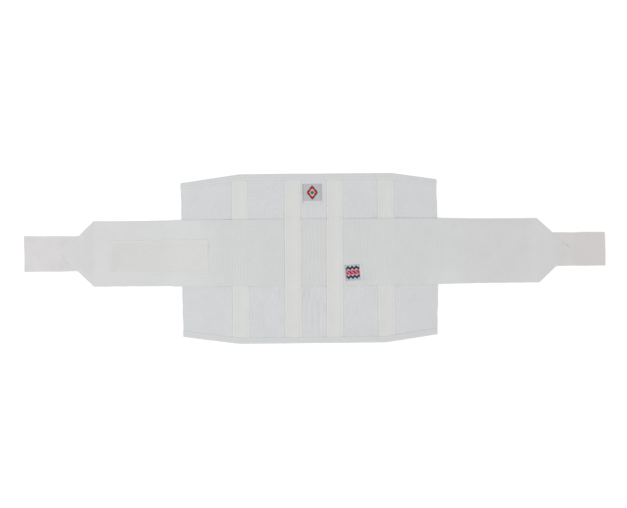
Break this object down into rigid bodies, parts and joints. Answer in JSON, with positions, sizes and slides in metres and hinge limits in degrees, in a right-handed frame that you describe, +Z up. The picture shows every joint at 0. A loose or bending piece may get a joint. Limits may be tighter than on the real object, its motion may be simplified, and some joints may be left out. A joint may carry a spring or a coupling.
{
  "type": "back support belt",
  "caption": "Elastic back support belt laid flat: ribbed panel with bound hems and stay casings, crossed by a stretch band with pointed arms, hook tabs and a loop patch.",
  "frame": {"origin": "on the surface that the belt lies on, under the middle of its outline", "axes": "+X along the belt to the arm with no patch, +Y to the upper hem, +Z up through the outer face"},
  "size_m": [0.871, 0.254, 0.0064],
  "materials": {
    "panel_elastic": "knitted elastic, fine upright ribs, matt",
    "wing_twill": "stretch twill with a fine diagonal line, matt",
    "binding_tape": "folded elastic tape with two rows of stitches",
    "casing_tape": "woven cotton tape, cream white, matt",
    "band_elastic": "woven elastic with upright ribs, matt",
    "hook_tape": "nylon hook tape, slight sheen",
    "loop_pile": "brushed nylon loop pile",
    "label_cloth": "woven satin label with folded ends"
  },
  "bodies": {
    "root": {"back_panel": "panel_elastic", "wing_left": "wing_twill", "wing_right": "wing_twill", "binding_upper": "binding_tape", "binding_lower": "binding_tape", "casing_outer_left": "casing_tape", "casing_inner_left": "casing_tape", "casing_inner_right": "casing_tape", "casing_outer_right": "casing_tape", "side_pull_band": "band_elastic", "hook_tab_left": "hook_tape", "hook_tab_right": "hook_tape", "loop_patch": "loop_pile", "label_upper": "label_cloth", "label_lower": "label_cloth"}
  },
  "joints": []
}
